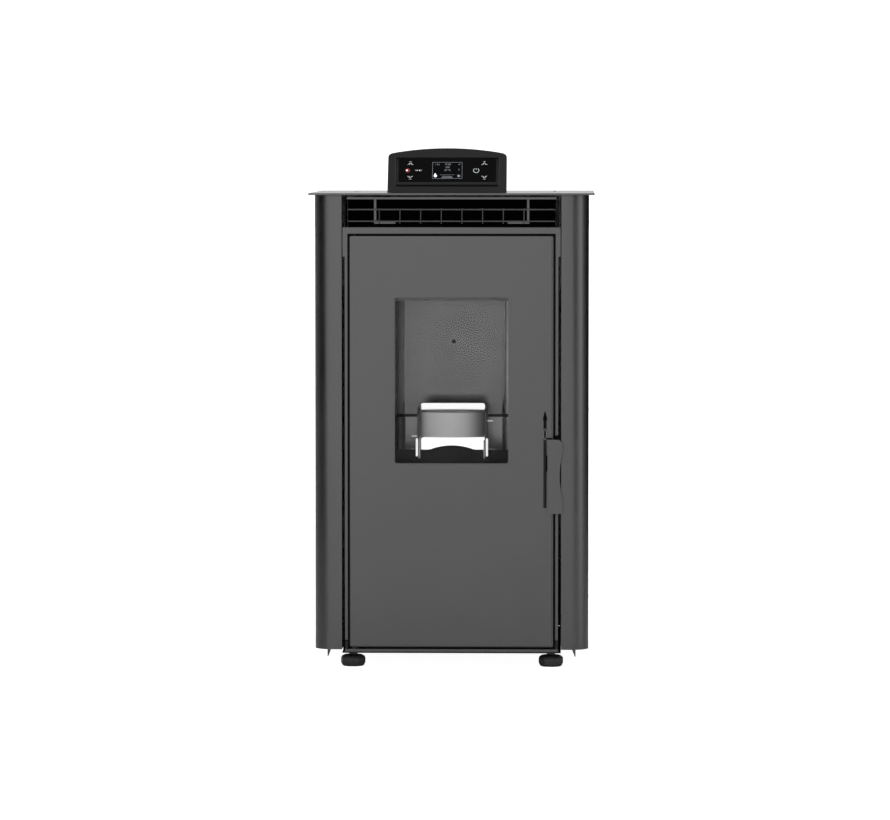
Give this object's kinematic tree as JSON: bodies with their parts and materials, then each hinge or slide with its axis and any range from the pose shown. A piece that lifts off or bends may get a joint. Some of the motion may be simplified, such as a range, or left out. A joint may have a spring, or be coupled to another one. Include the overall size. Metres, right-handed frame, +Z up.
{
  "type": "pellet stove",
  "caption": "Free-standing grey steel pellet stove with a windowed door, bar handle, wire air grille, hopper with auger, burn pot, fans and a sloping control console.",
  "frame": {"origin": "on the floor, under the middle of the whole stove, flue outlet included", "axes": "+X to the stove's left as it faces the user (the picture's right), +Y from the door to the flue outlet at the back, +Z up"},
  "size_m": [0.463, 0.48, 0.8445],
  "materials": {
    "case_paint": "fine satin powder coat, mid grey",
    "dark_paint": "heat-proof matt dark paint",
    "foot_plastic": "matt dark grey",
    "zinc_sheet": "galvanised",
    "fire_iron": "dull, heat darkened",
    "stainless": "bright, finely brushed",
    "fire_glass": "clear heat-proof glass",
    "rope": "braided glass-fibre rope",
    "black_plastic": "fine grained black",
    "gloss_black": "glossy black film",
    "board_green": "green lacquer"
  },
  "bodies": {
    "stove": {"side_panel_left": "case_paint", "side_panel_right": "case_paint", "top_plate": "case_paint", "front_frame": "case_paint", "base_tray": "case_paint", "air_grille": "case_paint", "ash_guard": "dark_paint", "hinge_pin_upper": "dark_paint", "hinge_pin_lower": "dark_paint", "air_duct": "dark_paint", "rear_panel": "zinc_sheet", "latch_keeper": "zinc_sheet", "ash_drawer": "zinc_sheet", "air_riser": "zinc_sheet", "air_intake": "zinc_sheet", "room_fan_housing": "zinc_sheet", "hopper": "zinc_sheet", "hopper_grid": "zinc_sheet", "smoke_fan_motor": "zinc_sheet", "room_fan_motor": "zinc_sheet", "auger_motor": "zinc_sheet", "firebox": "fire_iron", "fireback_upper": "fire_iron", "fireback_lower": "fire_iron", "pot_holder": "fire_iron", "pot_band": "fire_iron", "heat_exchanger": "fire_iron", "smoke_duct": "fire_iron", "smoke_fan_housing": "fire_iron", "auger_tube": "fire_iron", "igniter": "stainless", "console_housing": "black_plastic", "mains_inlet": "black_plastic", "console_overlay": "gloss_black", "lcd_display": "gloss_black", "control_board": "board_green"},
    "door": {"door_panel": "case_paint", "door_inner_frame": "fire_iron", "door_glass": "fire_glass", "door_gasket": "rope"},
    "handle": {"door_handle": "case_paint", "latch_hook": "dark_paint"},
    "lid": {"hopper_lid": "case_paint"},
    "pot": {"burn_pot": "stainless"},
    "rocker": {"power_switch": "black_plastic"},
    "auger": {"auger_screw": "stainless"},
    "smoke_wheel": {"smoke_fan_wheel": "stainless"},
    "room_wheel": {"room_fan_wheel": "black_plastic"},
    "foot_front_left_unit": {"foot_front_left": "foot_plastic"},
    "foot_front_right_unit": {"foot_front_right": "foot_plastic"},
    "foot_rear_left_unit": {"foot_rear_left": "foot_plastic"},
    "foot_rear_right_unit": {"foot_rear_right": "foot_plastic"},
    "key_heat_up_cap": {"key_heat_up": "gloss_black"},
    "key_set_cap": {"key_set": "gloss_black"},
    "key_heat_down_cap": {"key_heat_down": "gloss_black"},
    "key_power_cap": {"key_power": "gloss_black"},
    "key_fan_up_cap": {"key_fan_up": "gloss_black"},
    "key_fan_down_cap": {"key_fan_down": "gloss_black"}
  },
  "joints": [
    {"name": "door_hinge", "type": "hinge", "parent": "stove", "child": "door", "pos_m": [-0.1576, -0.224, 0.35], "axis": [0, 0, -1], "range_deg": [0, 110]},
    {"name": "handle_turn", "type": "hinge", "parent": "door", "child": "handle", "pos_m": [0.1518, -0.232, 0.33], "axis": [0, 0, -1], "range_deg": [0, 45]},
    {"name": "lid_hinge", "type": "hinge", "parent": "stove", "child": "lid", "pos_m": [0, 0.181, 0.7645], "axis": [-1, 0, 0], "range_deg": [0, 75]},
    {"name": "pot_lift", "type": "slide", "parent": "stove", "child": "pot", "axis": [0, 0, 1], "range_m": [0, 0.06]},
    {"name": "foot_front_left_screw", "type": "slide", "parent": "stove", "child": "foot_front_left_unit", "axis": [0, 0, -1], "range_m": [0, 0.02]},
    {"name": "foot_front_right_screw", "type": "slide", "parent": "stove", "child": "foot_front_right_unit", "axis": [0, 0, -1], "range_m": [0, 0.02]},
    {"name": "foot_rear_left_screw", "type": "slide", "parent": "stove", "child": "foot_rear_left_unit", "axis": [0, 0, -1], "range_m": [0, 0.02]},
    {"name": "foot_rear_right_screw", "type": "slide", "parent": "stove", "child": "foot_rear_right_unit", "axis": [0, 0, -1], "range_m": [0, 0.02]},
    {"name": "key_heat_up_press", "type": "slide", "parent": "stove", "child": "key_heat_up_cap", "axis": [0, 0.809, -0.5878], "range_m": [0, 0.0008], "stiffness_N_per_m": 1000, "springref_m": -0.001},
    {"name": "key_set_press", "type": "slide", "parent": "stove", "child": "key_set_cap", "axis": [0, 0.809, -0.5878], "range_m": [0, 0.0008], "stiffness_N_per_m": 1000, "springref_m": -0.001},
    {"name": "key_heat_down_press", "type": "slide", "parent": "stove", "child": "key_heat_down_cap", "axis": [0, 0.809, -0.5878], "range_m": [0, 0.0008], "stiffness_N_per_m": 1000, "springref_m": -0.001},
    {"name": "key_power_press", "type": "slide", "parent": "stove", "child": "key_power_cap", "axis": [0, 0.809, -0.5878], "range_m": [0, 0.0008], "stiffness_N_per_m": 1000, "springref_m": -0.001},
    {"name": "key_fan_up_press", "type": "slide", "parent": "stove", "child": "key_fan_up_cap", "axis": [0, 0.809, -0.5878], "range_m": [0, 0.0008], "stiffness_N_per_m": 1000, "springref_m": -0.001},
    {"name": "key_fan_down_press", "type": "slide", "parent": "stove", "child": "key_fan_down_cap", "axis": [0, 0.809, -0.5878], "range_m": [0, 0.0008], "stiffness_N_per_m": 1000, "springref_m": -0.001},
    {"name": "power_rocker", "type": "hinge", "parent": "stove", "child": "rocker", "pos_m": [-0.15, 0.196, 0.105], "axis": [1, 0, 0], "range_deg": [0, 16]},
    {"name": "auger_turn", "type": "hinge", "parent": "stove", "child": "auger", "pos_m": [0, -0.042, 0.665], "axis": [0, 0.7071, -0.7071], "continuous": true},
    {"name": "smoke_fan_spin", "type": "hinge", "parent": "stove", "child": "smoke_wheel", "pos_m": [0.075, -0.007, 0.15], "axis": [0, 1, 0], "continuous": true},
    {"name": "room_fan_spin", "type": "hinge", "parent": "stove", "child": "room_wheel", "pos_m": [-0.095, -0.085, 0.13], "axis": [0, 1, 0], "continuous": true}
  ]
}
